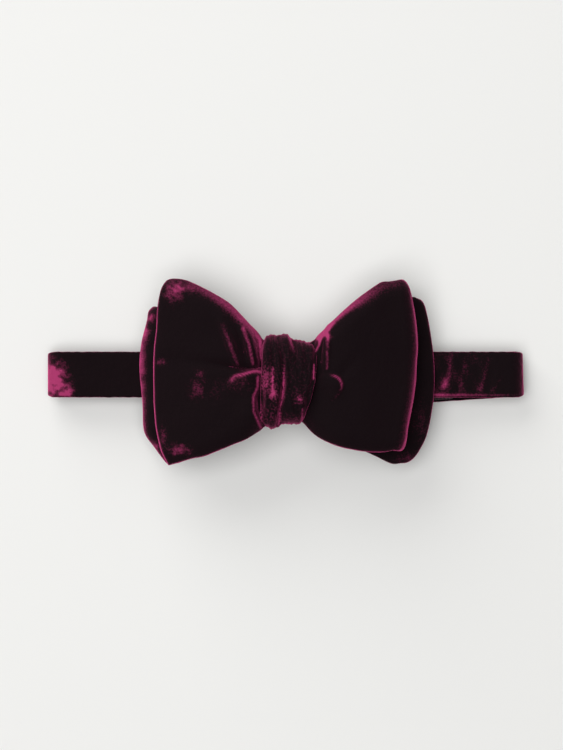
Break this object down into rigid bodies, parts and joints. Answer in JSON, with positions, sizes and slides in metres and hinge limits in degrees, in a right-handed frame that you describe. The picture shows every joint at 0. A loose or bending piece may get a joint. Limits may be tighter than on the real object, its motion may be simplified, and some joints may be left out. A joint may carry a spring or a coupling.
{
  "type": "bow tie",
  "caption": "Ready-tied butterfly bow tie in velvet, with a wrapped knot, looped blades and an adjustable neckband that closes with a hook and eye.",
  "frame": {"origin": "on the surface that the part lies on, under the middle of its outline", "axes": "+X along the neckband to the right of someone who looks at the front of the bow, +Y to the top of the bow, +Z out of the front of the bow"},
  "size_m": [0.212, 0.082, 0.0401],
  "materials": {
    "velvet": "cut-pile velvet with a strong sheen",
    "lining": "satin",
    "ribbon": "ribbed grosgrain",
    "interlining": "woven matt",
    "padding": "soft wadding",
    "thread": "twisted polyester thread",
    "metal": "polished nickel plate"
  },
  "bodies": {
    "root": {"front_blade_face": "velvet", "front_blade_interlining": "interlining", "front_blade_back": "velvet", "rear_blade_face": "velvet", "rear_blade_interlining": "interlining", "rear_blade_back": "velvet", "knot_wrap": "velvet", "knot_interlining": "interlining", "knot_padding": "padding", "knot_tack_stitches": "thread", "band_velvet": "velvet", "band_interlining": "interlining", "band_lining": "lining", "left_fold_velvet": "velvet", "left_fold_interlining": "interlining", "left_fold_lining": "lining", "right_fold_velvet": "velvet", "right_fold_interlining": "interlining", "right_fold_lining": "lining"},
    "left_tail": {"left_tail_velvet": "velvet", "left_tail_interlining": "interlining", "left_tail_lining": "lining", "eye_tab": "ribbon", "eye_tab_stitches": "thread"},
    "eye": {"eye": "metal"},
    "right_tail": {"right_tail_velvet": "velvet", "right_tail_interlining": "interlining", "right_tail_lining": "lining", "ribbon_fixed_run": "ribbon", "ribbon_stitches": "thread"},
    "slider": {"slider": "metal", "ribbon_slider_wave": "ribbon", "ribbon_sewn_end": "ribbon"},
    "ribbon_turn": {"ribbon_turn": "ribbon", "ribbon_upper_run": "ribbon", "ribbon_lower_run": "ribbon"},
    "hook": {"hook": "metal"}
  },
  "joints": [
    {"name": "left_tail_open", "type": "hinge", "parent": "root", "child": "left_tail", "pos_m": [-0.099, -0.001, 0.007], "axis": [0, 1, 0], "range_deg": [0, 150], "deforming": ["left_fold_velvet", "left_fold_interlining", "left_fold_lining"]},
    {"name": "right_tail_open", "type": "hinge", "parent": "root", "child": "right_tail", "pos_m": [0.099, -0.001, 0.007], "axis": [0, -1, 0], "range_deg": [0, 150], "deforming": ["right_fold_velvet", "right_fold_interlining", "right_fold_lining"]},
    {"name": "eye_swing", "type": "hinge", "parent": "left_tail", "child": "eye", "pos_m": [-0.026, -0.001, 0.00195], "axis": [0, -1, 0], "range_deg": [0, 50]},
    {"name": "slider_travel", "type": "slide", "parent": "right_tail", "child": "slider", "axis": [0.9976, 0.0698, 0], "range_m": [-0.018, 0.02], "deforming": ["ribbon_fixed_run", "ribbon_upper_run", "ribbon_lower_run"]},
    {"name": "turn_travel", "type": "slide", "parent": "slider", "child": "ribbon_turn", "axis": [0.9976, 0.0698, 0], "range_m": [-0.01, 0.009], "deforming": ["ribbon_fixed_run", "ribbon_upper_run", "ribbon_lower_run"]},
    {"name": "hook_swing", "type": "hinge", "parent": "ribbon_turn", "child": "hook", "pos_m": [0.01221, -0.00707, 0.0016], "axis": [-0.0698, 0.9976, 0], "range_deg": [0, 20]}
  ],
  "couplings": [
    {"joint": "turn_travel", "follows": "slider_travel", "ratio": -0.5}
  ]
}
